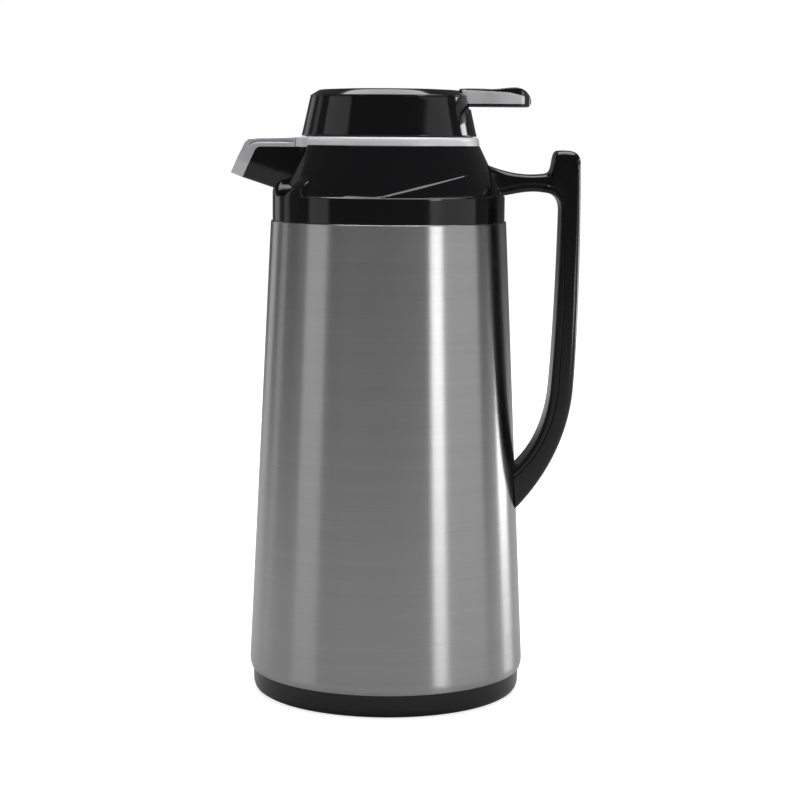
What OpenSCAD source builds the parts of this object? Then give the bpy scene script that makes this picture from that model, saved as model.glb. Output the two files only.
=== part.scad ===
// Thermal carafe: brushed steel cone over a double-walled glass liner, a moulded
// shoulder with a pouring spout, a D handle, and a screw-in stopper lid whose thumb
// lever opens a pouring valve.
// The axis is Z, the table is at z = 0, the spout points to -X and the handle to +X.

/* [Casing] */
// Height of the steel casing
casing_h = 214; // [190:1:235]
// Outer radius near the foot
casing_foot_r = 65.7; // [64:0.1:72]
// Outer radius at the top edge
casing_top_r = 55.7; // [54.5:0.1:58]
// Sheet thickness of the casing
casing_wall = 0.6; // [0.5:0.1:1]

/* [Base] */
// Visible height of the black foot below the steel
base_h = 11; // [9:0.5:16]
// How far the foot stands back from the steel
base_inset = 1.7; // [1.2:0.1:3]
// Wall of the foot moulding
base_wall = 2.2; // [1.6:0.1:3]
// Thread radius of the plug that holds the liner up
plug_r = 44; // [38:0.5:47]

/* [Vacuum liner] */
// Thickness of each glass wall
glass_wall = 1.5; // [1.2:0.1:2]
// Vacuum gap between the two glass walls
vacuum_gap = 2.2; // [1.6:0.1:3]
// Free radius of the liner's neck
neck_bore_r = 23.5; // [21.5:0.1:25]
// Height of the domed top from the cylinder to the neck
dome_h = 32; // [28:1:38]

/* [Shoulder] */
// Height of the upright black band above the steel
band_h = 12; // [9:0.5:16]
// Height of the cone above the band
cone_h = 23.4; // [21.5:0.1:28]
// Wall of the shoulder moulding
shoulder_wall = 2.2; // [1.8:0.1:2.6]
// Bore that the stopper screws into
mouth_r = 36; // [34.5:0.1:36.5]
// Outer radius of the bright ring
ring_r = 42.7; // [42:0.1:44.5]
// Height of the bright ring
ring_h = 3.9; // [3:0.1:5]
// How far the swept wing by the handle stands out of the cone
wing_rise = 0.7; // [0.4:0.1:1]

/* [Spout] */
// Distance from the axis to the pouring lip
spout_reach = 74.3; // [71:0.1:80]
// Width of the spout at its mouth
spout_w = 21; // [19:0.5:25]
// Width where the bright cap meets the ring
spout_root_w = 38.6; // [34:0.2:42]
// Width of the bright band round the mouth
trim_w = 5.6; // [4:0.1:7]
// Wall of the spout
spout_wall = 2; // [1.5:0.1:2.4]

/* [Lid] */
// Height of the lid's wall
lid_wall_h = 18.3; // [17.5:0.1:24]
// Radius of the lid at its lower edge
lid_foot_r = 41.3; // [40.5:0.1:42]
// Radius of the lid where the top cap starts
lid_top_r = 37.2; // [36:0.1:39]
// Wall of the lid mouldings
lid_wall = 2; // [1.6:0.1:2.4]
// Height of the cap's sloping edge
chamfer_h = 3.1; // [2:0.1:4]

/* [Lever] */
// Distance from the axis to the thumb end of the lever
lever_reach = 66.5; // [62:0.5:72]
// Width of the lever's stem
lever_w = 16.4; // [14:0.2:18]
// Width of the thumb pad
pad_w = 24; // [20:0.5:28]
// Angle through which the thumb presses the lever
press_deg = 7; // [5:0.5:8]
// Radius of the lever's pivot pin
pin_r = 1.5; // [1.2:0.1:1.8]

/* [Handle] */
// Distance from the axis to the outside of the handle
handle_reach = 90.8; // [88:0.5:100]
// Width of the handle's post
handle_w = 24; // [20:0.5:28]
// Thickness of the handle's post
handle_t = 10.3; // [9:0.1:12]
// Drop from the shoulder's ledge to the lower end of the handle
handle_drop = 148.8; // [135:0.5:165]
// Thickness of the inner cover strip
cover_t = 3.5; // [3:0.1:4]

/* [Fits] */
// Gap between bodies that move past each other
move_gap = 0.3; // [0.25:0.05:0.4]
// Radial clearance of a pin or rod in its bore
fit_gap = 0.05; // [0.03:0.01:0.08]

/* [Hidden] */
$fn = 96;

// Colours as in the photograph
steel_c = [0.66, 0.65, 0.64];
black_c = [0.11, 0.11, 0.12];
chrome_c = [0.80, 0.80, 0.82];
rubber_c = [0.75, 0.74, 0.70];
glass_c = [0.78, 0.82, 0.84, 0.6];
far = 200;

// Levels of the stack, from the table upwards
z_steel = base_h;
z_rim = z_steel + casing_h;
z_ledge = z_rim + band_h;
z_ring = z_ledge + cone_h;
z_mouth = z_ring + ring_h;
z_lid = z_mouth + move_gap;
z_cap = z_lid + lid_wall_h;
z_top = z_cap + chamfer_h;

// Casing: a straight cone above a short curl at the foot
curl_h = 3;
curl_in = 0.7;
rim_round = 0.6;
z_curl = z_steel + curl_h;
function casing_r(z) =
    casing_foot_r + (casing_top_r - casing_foot_r) * (z - z_curl) / (z_rim - z_curl);

// Foot moulding
base_r = casing_foot_r - base_inset;
foot_round = 4.8;
foot_rim_w = 3;
foot_recess = 3.2;
collar_t = 3;
collar_h = 9;
base_rise = 12;

// Shoulder
rim_step = 0.8;
band_r = casing_top_r - rim_step;
ledge_in = 0.9;
ledge_h = 0.3;
cone_foot_r = band_r - ledge_in;
skirt_r = casing_top_r - casing_wall - 0.3;
skirt_h = 12;
collar_r = ring_r - 3.1;
z_collar = z_mouth - 1.6;
collar_drop = 8.4;
neck_hole_r = neck_bore_r - 1;
z_funnel = z_ledge - 3.5;
z_floor = z_ledge + 1;
chamber_r = cone_foot_r - shoulder_wall;
function cone_r(z) = cone_foot_r + (ring_r - cone_foot_r) * (z - z_ledge) / (z_ring - z_ledge);
function funnel_z(r) =
    z_funnel + (z_floor - z_funnel) * (r - neck_hole_r) / (chamber_r - neck_hole_r);

// Glass liner, kept clear of the casing and of the shoulder's skirt
liner_r = min(casing_r(z_rim - 28) - casing_wall - 1.2, base_r - base_wall - 1);
neck_wall = 2 * glass_wall + vacuum_gap - 1.2;
neck_r = neck_bore_r + neck_wall;
gasket_t = 2.6;
z_lip = z_funnel - shoulder_wall - gasket_t;
z_neck = z_lip - 7;
z_dome = z_neck - dome_h;
bottom_h = 18;
z_bottom = z_steel + 25;
sleeve_t = 2.4;

// Stopper
thread_r = mouth_r - move_gap;
stopper_r = thread_r - 2.2;
stopper_bore_r = stopper_r - 2.6;
plate_t = 2;
plate_r = lid_foot_r - lid_wall - 0.3;
z_seat = z_funnel + 2.7;
seat_t = 2.2;
window_count = 8;
window_w = 16;
port_r = 10.5;
port_lip_w = 1.6;
port_lip_h = 0.8;
guide_r = 6.4;
guide_l = 9;
seal_r = 27;
seal_bore_r = neck_hole_r + 0.5;

// Rocking lever: pivot just inside the lid's wall, thumb pad outside, fork inside
pivot_x = lid_top_r - 6.7;
z_pivot = z_top - 5.3;
wall_stroke = (lid_top_r + 1 - pivot_x) * sin(press_deg);
lever_z = z_top - 7.3;
slot_w = lever_w + 1.2;
slot_x = pivot_x + 2.1;
notch_z = lever_z - wall_stroke - move_gap;
ear_t = 2;
ear_half = 3;
hub_r = 3;

// Fork that lifts the button of the valve rod
z_fork = z_pivot - 3.4;
fork_w = 12;
fork_t = 2.9;
fork_end = -5;

// Pouring valve, from the retainer below the port to the button above the plate
rod_r = 2.2;
rod_tip_r = 1.4;
z_button = z_fork + move_gap;
button_t = 2;
button_r = 6.3;
seat_flange_t = 1.5;
spring_wire_r = 0.4;
spring_r = 5.4;
spring_turns = 5;
washer_t = 2.4;
washer_r = port_r + port_lip_w + 0.8;
retainer_t = 1.5;
z_washer = z_seat + seat_t + port_lip_h + move_gap;

crown_h = 0.8;
skirt_in = 0.4;
cap_r = lid_top_r - 3.5;
screw_ring_r = 24;
screw_r = 1.25;
boss_r = 3.6;

// Handle
grip_round = 3.6;
cover_round = 2.4;
parting_gap = 0.15;
arm_w = 19;
root_w = 26;
tongue_w = 10;
z_foot = z_ledge - handle_drop;
seat_gap = 0.1;

// Points of a circular arc
function arc(cx, cy, r, a0, a1, n = 6) =
    [for (i = [0:n]) let (a = a0 + (a1 - a0) * i / n) [cx + r * cos(a), cy + r * sin(a)]];

// Points of a cubic curve, without its last one
function cubic(a, b, c, d, n) =
    [for (i = [0:n - 1]) let (t = i / n, s = 1 - t)
        s * s * s * a + 3 * s * s * t * b + 3 * s * t * t * c + t * t * t * d];

// Point at parameter t between a and b
function mix(a, b, t) = a + (b - a) * t;

module turned(profile) {
    rotate_extrude()
        polygon(profile);
}

// Bore or shaft along Y through the point (x, z)
module along_y(x, z, r, l) {
    translate([x, l / 2, z])
        rotate([90, 0, 0])
            cylinder(r = r, h = l);
}

// Bore or shaft along X that starts at x
module along_x(x, z, r, l) {
    translate([x, 0, z])
        rotate([0, 90, 0])
            cylinder(r = r, h = l);
}

// Side outline in X and Z, extruded across Y
module across(outline, w) {
    translate([0, w / 2, 0])
        rotate([90, 0, 0])
            linear_extrude(w)
                polygon(outline);
}

// Skin through closed rings of equal length, with flat ends
module loft(rings) {
    n = len(rings[0]);
    m = len(rings);
    sides = [for (k = [0:m - 2]) for (i = [0:n - 1]) let (j = (i + 1) % n)
        each [[k * n + i, k * n + j, (k + 1) * n + i],
              [k * n + j, (k + 1) * n + j, (k + 1) * n + i]]];
    first = [[for (i = [n - 1:-1:0]) i]];
    last = [[for (i = [0:n - 1]) (m - 1) * n + i]];
    polyhedron(points = [for (ring = rings) each ring], faces = concat(first, sides, last));
}

// Casing: rolled top edge, straight cone, curled lower edge that grips the foot
module casing() {
    lip_r = base_r + 0.05;
    color(steel_c)
        difference() {
            turned(concat(
                [[lip_r, z_steel], [lip_r + casing_wall, z_steel]],
                arc(casing_foot_r - curl_in, z_curl, curl_in, -60, 0, 4),
                arc(casing_top_r - rim_round, z_rim - rim_round, rim_round, 3, 90, 5),
                [[casing_top_r - casing_wall - 0.2, z_rim],
                 [casing_top_r - casing_wall - 0.15, z_rim - 2],
                 [casing_foot_r - casing_wall, z_curl]]
            ));
            along_x(casing_foot_r - 12, z_handle_screw, handle_screw_r + 0.3, 14);
        }
}

// Foot: closes the casing and carries the threaded collar of the bottom plug
module base_ring() {
    rim_r = base_r - foot_round;
    inner_r = base_r - base_wall;
    color(black_c)
        turned(concat(
            [[rim_r - foot_rim_w, 0], [rim_r, 0]],
            arc(rim_r, foot_round, foot_round, -80, 0, 5),
            [[base_r, z_steel + base_rise], [inner_r, z_steel + base_rise],
             [inner_r, foot_recess + base_wall], [plug_r + collar_t, foot_recess + base_wall],
             [plug_r + collar_t, foot_recess + collar_h], [plug_r, foot_recess + collar_h],
             [plug_r, foot_recess], [rim_r - foot_rim_w - 1, foot_recess]]
        ));
}

// Plug: screws into the collar and presses the liner up against its gasket
plug_flange = 5;
plug_top = foot_recess + collar_h - 1;
plug_body_r = plug_r - 0.2;
plug_wall = 3;
grip_bar_w = 7;
module base_plug() {
    color(black_c)
        union() {
            turned([
                [plug_body_r - plug_wall, 1], [plug_r + plug_flange, 1],
                [plug_r + plug_flange, foot_recess - 0.1], [plug_body_r, foot_recess - 0.1],
                [plug_body_r, plug_top], [0, plug_top], [0, plug_top - plug_wall],
                [plug_body_r - plug_wall, plug_top - plug_wall]
            ]);
            intersection() {
                translate([-plug_r, -grip_bar_w / 2, 2])
                    cube([2 * plug_r, grip_bar_w, plug_top - plug_wall - 1]);
                cylinder(r = plug_body_r - plug_wall / 2, h = plug_top - 1);
            }
        }
}

// Height of the liner's lower dome at radius r
function liner_foot(r) = z_bottom - bottom_h * sqrt(1 - pow(r / liner_r, 2));

// Cushion: rubber ring under the liner, hollow for the glass tip
cushion_in = 14;
cushion_out = 32;
module liner_cushion() {
    color(rubber_c)
        turned(concat(
            [[cushion_in, plug_top], [cushion_out, plug_top]],
            [for (i = [0:6]) let (r = cushion_out - (cushion_out - cushion_in) * i / 6)
                [r, liner_foot(r) - 0.1]]
        ));
}

// Bowl and dome of a glass shell, as lines from the axis to the side and on to the neck
shell_steps = 12;
function bowl_line(r, drop) =
    [for (i = [0:shell_steps]) let (a = 90 * i / shell_steps) [r * sin(a), z_bottom - drop * cos(a)]];
function dome_line(r, n, rise) =
    [for (i = [0:shell_steps]) let (a = 90 * i / shell_steps)
        [n + (r - n) * cos(a), z_dome + rise * sin(a)]];
function turned_back(line) = [for (i = [len(line) - 1:-1:0]) line[i]];

// Liner: two glass shells with the vacuum sealed between them, and the sealed tip below
glass_tip_r = 3;
glass_tip_h = 3;
seal_depth = 3;
neck_glass = 1.3;
module vacuum_liner() {
    inner = 2 * glass_wall + vacuum_gap;
    outer = glass_wall;
    middle = glass_wall + vacuum_gap;
    lip_round = neck_wall / 2;
    color(glass_c)
        difference() {
            union() {
                turned(concat(
                    bowl_line(liner_r, bottom_h), dome_line(liner_r, neck_r, dome_h),
                    arc(neck_r - lip_round, z_lip - lip_round, lip_round, 0, 90, 4),
                    [[0, z_lip]]
                ));
                translate([0, 0, z_bottom - bottom_h - glass_tip_h])
                    cylinder(r1 = glass_tip_r / 2, r2 = glass_tip_r, h = glass_tip_h + 1);
            }
            turned(concat(
                bowl_line(liner_r - inner, bottom_h - inner),
                dome_line(liner_r - inner, neck_bore_r, dome_h - inner),
                [[neck_bore_r, z_lip + 1], [0, z_lip + 1]]
            ));
            turned(concat(
                bowl_line(liner_r - outer, bottom_h - outer),
                dome_line(liner_r - outer, neck_r - neck_glass, dome_h - outer),
                [[neck_r - neck_glass, z_lip - seal_depth],
                 [neck_bore_r + neck_glass, z_lip - seal_depth]],
                turned_back(dome_line(liner_r - middle, neck_bore_r + neck_glass,
                    dome_h - middle)),
                turned_back(bowl_line(liner_r - middle, bottom_h - middle))
            ));
        }
}

// Gasket between the glass lip and the shoulder, with a sleeve round the neck
module neck_gasket() {
    z_under = z_funnel - shoulder_wall;
    color(rubber_c)
        turned([
            [neck_hole_r + 0.8, z_lip], [neck_r + 0.1, z_lip], [neck_r + 0.1, z_neck + 2],
            [neck_r + sleeve_t, z_neck + 2], [neck_r + sleeve_t, z_under - 0.1],
            [neck_hole_r + 0.8, z_under - 0.1]
        ]);
}

// Outside of the shoulder as a solid, grown by g
module shoulder_body(g = 0) {
    turned([
        [0, z_rim - skirt_h], [skirt_r + g, z_rim - skirt_h], [skirt_r + g, z_rim + 0.05],
        [band_r + g, z_rim + 0.05], [band_r + g, z_ledge - ledge_h],
        [cone_foot_r + g, z_ledge + g * 0.4], [ring_r + g, z_ring], [0, z_ring]
    ]);
}

// Wing that sweeps from the handle's root round the foot of the cone
wing_slope = 14;
wing_x = -1.8;
module wing(g = 0) {
    intersection() {
        turned([
            [0, z_ledge], [cone_foot_r + wing_rise + g, z_ledge],
            [ring_r + wing_rise + g, z_ring], [0, z_ring]
        ]);
        translate([wing_x, -far / 2, z_ledge + 0.8])
            rotate([0, -wing_slope, 0])
                translate([0, 0, -30])
                    cube([far, far, 30]);
    }
}

// Plan of the spout: narrow mouth, sides that flare out to the ring
function spout_side() = cubic(
    [-spout_reach - 1, spout_w / 2 - 0.3], [-58, spout_w / 2 + 0.2],
    [-45.5, spout_w / 2 + 1.2], [-root_x, spout_root_w / 2], 12);
root_x = sqrt(ring_r * ring_r - spout_root_w * spout_root_w / 4);
function spout_plan(inset = 0) = concat(
    [for (p = spout_side()) [p[0], p[1] - inset]],
    [[-root_x, spout_root_w / 2 - inset], [-20, spout_root_w / 2 - inset],
     [-20, inset - spout_root_w / 2], [-root_x, inset - spout_root_w / 2]],
    [for (i = [len(spout_side()) - 1:-1:0]) let (p = spout_side()[i]) [p[0], inset - p[1]]]
);

// Side view of the spout: lip, sloping mouth, flat top, rising underside
z_cap_top = z_mouth - 0.2;
lip_z = z_ledge + 10.3;
mouth_top_x = spout_reach - 7;
mouth_top_z = z_mouth - 2.6;
under_x = spout_reach - 5.8;
under_z = lip_z - 2.3;
spout_slope = 18;
function under_line(x) = under_z - (under_x - x) * tan(spout_slope);
function spout_outline() = [
    [-20, z_cap_top], [-42, z_cap_top], [-(mouth_top_x - 2), z_cap_top - 0.75],
    [-mouth_top_x, mouth_top_z], [-spout_reach, lip_z], [-under_x, under_z],
    [-48, under_line(48)], [-20, under_line(48)]
];

// Whole spout as a solid: side view, plan and turned-in lower sides together
bevel_deg = 27;
bevel_z = 7.2;
module spout_solid(inset = 0) {
    difference() {
        intersection() {
            across(spout_outline(), spout_root_w + 2);
            translate([0, 0, z_ledge - 10])
                linear_extrude(60)
                    polygon(spout_plan(inset));
        }
        for (side = [-1, 1])
            translate([-under_x, side * (spout_w / 2 - inset), under_z + bevel_z])
                rotate([0, spout_slope, 0])
                    rotate([side * bevel_deg, 0, 0])
                        translate([-20, side > 0 ? 0 : -20, -20])
                            cube([60, 20, 20]);
    }
}

// Channel from the pouring chamber to the mouth
module spout_channel() {
    w = spout_w - 2 * spout_wall - 2;
    across([
        [-30, z_ring - 2 * spout_wall], [-mouth_top_x, z_ring - 2 * spout_wall],
        [-spout_reach - 5, z_ring - 2 * spout_wall],
        [-spout_reach - 5, under_line(spout_reach + 5) + shoulder_wall + 0.6],
        [-48, under_line(48) + shoulder_wall + 0.6], [-30, under_line(48) + shoulder_wall + 0.6]
    ], w);
}

// Coves scooped out of the cone on both sides of the spout's root, grown by g: a ball at
// the foot and a cone that narrows up to the ring, its top tucked in under the ring
cove_r = 9.8;
cove_top_r = 3;
cove_tuck = 2.5;
root_side = spout_w / 2 + 1.2;
z_cove = z_ledge + 0.6 + cove_r;
cove_x = sqrt(pow(cone_r(z_cove), 2) - root_side * root_side);
cove_top_x = sqrt(ring_r * ring_r - root_side * root_side) - cove_tuck;
cove_y = root_side + cove_r + 0.4;
cove_top_y = root_side + cove_top_r + 0.8;
cove_rise = z_ring - z_cove;
cove_lean = norm([cove_x - cove_top_x, cove_y - cove_top_y]);
module cove(g = 0) {
    h = norm([cove_lean, cove_rise]);
    for (side = [-1, 1])
        translate([-cove_x, side * cove_y, z_cove])
            rotate([0, atan(cove_lean / cove_rise),
                -side * atan((cove_y - cove_top_y) / (cove_x - cove_top_x))])
                turned(concat(arc(0, 0, cove_r + g, -90, 0, 9),
                    [[cove_top_r + g, h], [0, h]]));
}

// Part of the spout that is bright: the cap plate and the band round the mouth
module bright_region() {
    across([
        [-19, z_ring - 0.9], [-mouth_top_x + trim_w - 0.4, z_ring - 0.9],
        [-mouth_top_x + trim_w, mouth_top_z - 2.8],
        [-under_x, under_z], [-under_x, under_z - 9], [-spout_reach - 9, under_z - 9],
        [-spout_reach - 9, z_mouth + 9], [-19, z_mouth + 9]
    ], far);
}

// Shoulder: skirt, band, cone, funnel floor, thread collar and spout
module shoulder() {
    color(black_c)
        difference() {
            union() {
                shoulder_body();
                wing();
                turned([[0, z_ring - 1], [collar_r, z_ring - 1], [collar_r, z_collar],
                    [0, z_collar]]);
                difference() {
                    spout_solid();
                    bright_region();
                }
                handle_tongue();
            }
            cove();
            difference() {
                union() {
                    turned([
                        [0, z_funnel - 1], [neck_hole_r, z_funnel - 1], [neck_hole_r, z_funnel],
                        [chamber_r, z_floor], [chamber_r, z_floor + 0.4],
                        [cone_r(z_ring - shoulder_wall) - shoulder_wall, z_ring - shoulder_wall],
                        [mouth_r + shoulder_wall, z_ring - shoulder_wall],
                        [mouth_r + shoulder_wall, z_ring - collar_drop],
                        [mouth_r, z_ring - collar_drop], [mouth_r, z_mouth], [0, z_mouth]
                    ]);
                    under_floor();
                }
                cove(shoulder_wall);
            }
            spout_channel();
            handle_tongue_bore();
        }
}

// Space under the funnel floor, with the collar that centres the neck gasket left standing
module under_floor() {
    z_low = z_rim - skirt_h - 1;
    in_r = skirt_r - shoulder_wall;
    collar_in = neck_r + sleeve_t + 0.1;
    turned([
        [0, z_low], [in_r, z_low], [in_r, z_ledge - shoulder_wall - 1],
        [in_r - 1.5, z_ledge - shoulder_wall],
        [collar_in + 2, funnel_z(collar_in + 2) - shoulder_wall],
        [collar_in + 2, z_neck], [collar_in, z_neck],
        [collar_in, z_funnel - shoulder_wall], [neck_hole_r, z_funnel - shoulder_wall],
        [neck_hole_r, z_funnel], [0, z_funnel]
    ]);
}

// Ring round the mouth, bright, seated on the shoulder
module shoulder_ring() {
    color(chrome_c)
        turned([
            [collar_r + 0.05, z_ring], [ring_r, z_ring], [ring_r - 0.4, z_mouth - 1],
            [ring_r - 1, z_mouth], [collar_r + 0.4, z_mouth], [collar_r + 0.05, z_mouth - 0.4]
        ]);
}

// Bright cap plate and mouth band in one piece, closed on the spout
groove_w = 0.5;
module spout_trim() {
    z_groove = z_cap_top - 1.9;
    color(chrome_c)
        difference() {
            intersection() {
                spout_solid();
                bright_region();
            }
            cylinder(r = ring_r + 0.05, h = far * 2);
            shoulder_body(0.05);
            spout_channel();
            intersection() {
                translate([0, 0, z_groove])
                    linear_extrude(groove_w)
                        difference() {
                            polygon(spout_plan(-1));
                            polygon(spout_plan(groove_w));
                        }
                translate([-mouth_top_x + 1, -far / 2, 0])
                    cube([mouth_top_x - ring_r - 2.5, far, far * 2]);
            }
        }
}

// Outer line of the handle: arm, thumb horn, post and lower bend
post_x = handle_reach;
horn_z = z_ledge + 20.9;
root_top_z = z_ledge + 15.6;
foot_x = casing_r(z_foot) - 2;
z_bend = z_ledge - 89.4;
function outer_line() = concat(
    cubic([44, root_top_z], [52, z_ledge + 12.3], [62, z_ledge + 8.9],
        [post_x - 16.7, z_ledge + 10.7], 8),
    cubic([post_x - 16.7, z_ledge + 10.7], [post_x - 11.9, z_ledge + 11.6],
        [post_x - 13, horn_z - 1], [post_x - 9.9, horn_z - 0.2], 7),
    cubic([post_x - 9.9, horn_z - 0.2], [post_x - 4.7, horn_z + 0.8],
        [post_x - 1, horn_z - 0.3], [post_x - 0.4, horn_z - 7.1], 6),
    cubic([post_x - 0.4, horn_z - 7.1], [post_x - 0.2, z_ledge - 25],
        [post_x - 0.8, z_ledge - 61], [post_x - 2.55, z_bend], 10),
    cubic([post_x - 2.55, z_bend], [post_x - 4, z_bend - 24.1],
        [post_x - 15.3, z_foot + 14.3], [foot_x, z_foot - 1.2], 12),
    [[foot_x, z_foot - 1.2]]
);

// Inner line of the handle, with as many points
inner_x = post_x - handle_t;
foot_h = 21.3;
function inner_line() = concat(
    cubic([44, z_ledge - 1], [56, z_ledge - 0.2], [63, z_ledge + 3.4],
        [inner_x - 8.1, z_ledge + 2], 8),
    cubic([inner_x - 8.1, z_ledge + 2], [inner_x - 6, z_ledge + 1.8],
        [inner_x - 2.9, z_ledge + 1.4], [inner_x - 1.2, z_ledge - 1], 7),
    cubic([inner_x - 1.2, z_ledge - 1], [inner_x - 0.2, z_ledge - 2.4],
        [inner_x + 0.4, z_ledge - 4.3], [inner_x + 0.4, z_ledge - 7], 6),
    cubic([inner_x + 0.4, z_ledge - 7], [inner_x + 0.4, z_ledge - 32],
        [inner_x - 0.8, z_ledge - 65], [inner_x - 2.6, z_bend], 10),
    cubic([inner_x - 2.6, z_bend], [inner_x - 3.8, z_bend - 17.1],
        [inner_x - 9.3, z_foot + 28], [foot_x - 1, z_foot + foot_h - 3], 12),
    [[foot_x - 1, z_foot + foot_h - 3]]
);

// Half width along the handle: wide root, slim arm, full post
function handle_half(i) =
    i < 5 ? mix(root_w, arm_w, 1 - pow(1 - i / 5, 2)) / 2
    : i < 16 ? mix(arm_w, handle_w, (1 - cos(180 * (i - 5) / 11)) / 2) / 2
    : handle_w / 2;

// Section in thickness s and width y, rounded on the outer side
function grip_section(t, w) = let (r = grip_round, c = cover_t + parting_gap) concat(
    [[c, -w]], [for (p = arc(t - r, -w + r, r, -90, 0, 5)) p],
    [for (p = arc(t - r, w - r, r, 0, 90, 5)) p], [[c, w]]
);

// Section of the cover strip, rounded on the inner side
function cover_section(w) = let (r = cover_round) concat(
    [[cover_t, w]], [for (p = arc(r, w - r, r, 90, 180, 4)) p],
    [for (p = arc(r, -w + r, r, 180, 270, 4)) p], [[cover_t, -w]]
);

// Section number i of the handle, set between its inner and outer points
function placed(section, a, b) =
    let (d = (b - a) / norm(b - a))
    [for (p = section) [a[0] + d[0] * p[0], p[1], a[1] + d[1] * p[0]]];
handle_rings = [for (i = [0:len(outer_line()) - 1])
    let (a = inner_line()[i], b = outer_line()[i], w = handle_half(i))
    [placed(grip_section(norm(b - a), w), a, b), placed(cover_section(w), a, b)]];

// Tongue of the shoulder that carries the arm, and the screw places
tongue_h = 4.2;
z_tongue = z_ledge + 4.7;
tongue_end = cone_foot_r + 9;
arm_screw_x = cone_foot_r + 5.5;
handle_screw_r = 1.6;
head_r = 3.2;
head_t = 1.8;
foot_screw_l = 7.5;
z_handle_screw = z_foot + 10.8;
module handle_tongue(g = 0) {
    translate([cone_r(z_tongue) - 2, -tongue_w / 2 - g, z_tongue - g])
        cube([tongue_end + g - cone_r(z_tongue) + 2, tongue_w + 2 * g, tongue_h + 2 * g]);
}
module handle_tongue_bore() {
    translate([arm_screw_x, 0, z_tongue - 1])
        cylinder(r = handle_screw_r + fit_gap, h = tongue_h + 2);
}

// Everything that the handle seats on, grown by the seat gap
module handle_seats() {
    shoulder_body(seat_gap);
    wing(seat_gap);
    turned([[0, z_foot - 20], [casing_r(z_foot - 20) + seat_gap, z_foot - 20],
        [casing_r(z_foot + 60) + seat_gap, z_foot + 60], [0, z_foot + 60]]);
}

// Grip: outer shell of the handle
module handle_grip() {
    color(black_c)
        difference() {
            loft([for (r = handle_rings) r[0]]);
            handle_seats();
            handle_tongue(seat_gap);
            handle_screw_space();
        }
}

// Cover strip on the hand side of the grip
module handle_cover() {
    color(black_c)
        difference() {
            loft([for (r = handle_rings) r[1]]);
            handle_seats();
            handle_tongue(seat_gap);
            handle_screw_space();
        }
}

// Clearance for the screws of the handle
module handle_screw_space() {
    translate([arm_screw_x, 0, z_tongue - 10])
        cylinder(r = head_r + 0.2, h = 10 - 1.2);
    translate([arm_screw_x, 0, z_tongue - 2])
        cylinder(r = handle_screw_r + fit_gap, h = tongue_h + 2);
    along_x(casing_r(z_handle_screw) - 3, z_handle_screw, handle_screw_r + fit_gap,
        foot_screw_l + 3.2);
}

// Screws: one up into the tongue, one out through the casing into the lower end
module handle_screws() {
    screw_x = casing_r(z_handle_screw) - casing_wall - 0.35;
    color(chrome_c) {
        translate([arm_screw_x, 0, z_tongue - 1.2 - head_t])
            cylinder(r = head_r, h = head_t);
        translate([arm_screw_x, 0, z_tongue - 1.3])
            cylinder(r = handle_screw_r, h = tongue_h);
        along_x(screw_x - head_t, z_handle_screw, head_r, head_t);
        along_x(screw_x - 0.1, z_handle_screw, handle_screw_r, foot_screw_l);
    }
}

// Seal: silicone ring on the funnel floor round the neck
module stopper_seal() {
    color(rubber_c)
        turned([
            [seal_bore_r, funnel_z(seal_bore_r) + move_gap],
            [seal_r, funnel_z(seal_r) + move_gap], [seal_r, z_seat - move_gap],
            [seal_bore_r, z_seat - move_gap]
        ]);
}

// Stopper: top plate, threaded drum, pouring windows, valve port and rod guide
module stopper_body() {
    z_in = z_seat + seat_t;
    z_window = z_in + 1.6;
    z_drum = z_ring - collar_drop;
    color(black_c)
        difference() {
            turned([
                [0, z_seat], [stopper_r, z_seat], [stopper_r, z_drum - 0.6],
                [thread_r, z_drum + 1], [thread_r, z_lid], [plate_r, z_lid],
                [plate_r, z_lid + plate_t], [0, z_lid + plate_t]
            ]);
            turned([
                [port_r + port_lip_w, z_in + port_lip_h], [port_r + port_lip_w, z_in],
                [stopper_bore_r, z_in], [stopper_bore_r, z_lid - 1.5],
                [stopper_bore_r - 1.5, z_lid], [guide_r, z_lid], [guide_r, z_lid - guide_l],
                [0, z_lid - guide_l], [0, z_in + port_lip_h]
            ]);
            translate([0, 0, z_seat - 1])
                cylinder(r = port_r, h = seat_t + port_lip_h + 2);
            translate([0, 0, z_lid - guide_l - 1])
                cylinder(r = rod_r + fit_gap, h = guide_l + plate_t + 2);
            for (i = [0:window_count - 1])
                rotate([0, 0, 360 * i / window_count])
                    translate([stopper_bore_r - 2, -window_w / 2, z_window])
                        cube([8, window_w, z_drum - 2 - z_window]);
            for (a = screw_angles)
                rotate([0, 0, a])
                    translate([screw_ring_r, 0, z_lid - 1])
                        cylinder(r = screw_r + fit_gap, h = plate_t + 2);
        }
}

// Gasket between the stopper's plate and the collar of the shoulder
module lid_gasket() {
    color(rubber_c)
        turned([
            [mouth_r + 0.6, z_collar + move_gap], [collar_r - 0.2, z_collar + move_gap],
            [collar_r - 0.2, z_lid], [mouth_r + 0.6, z_lid]
        ]);
}

// Radius of the lid's wall at height z
function lid_r(z) = lid_foot_r + (lid_top_r - lid_foot_r) * (z - z_lid) / (z_cap - z_lid);

// Lid wall: cone with a ledge on the stopper plate and a notch for the lever
module lid_cover() {
    ledge_z = z_lid + plate_t;
    color(black_c)
        difference() {
            turned([
                [lid_foot_r - lid_wall, z_lid], [lid_foot_r - 0.4, z_lid],
                [lid_foot_r, z_lid + 0.4], [lid_top_r, z_cap], [lid_top_r - lid_wall, z_cap],
                [lid_r(ledge_z + 1.8) - lid_wall, ledge_z + 1.8],
                [plate_r - 3, ledge_z + 1.8], [plate_r - 3, ledge_z],
                [lid_foot_r - lid_wall - 0.15, ledge_z]
            ]);
            lever_notch(pivot_x);
        }
}

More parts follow.
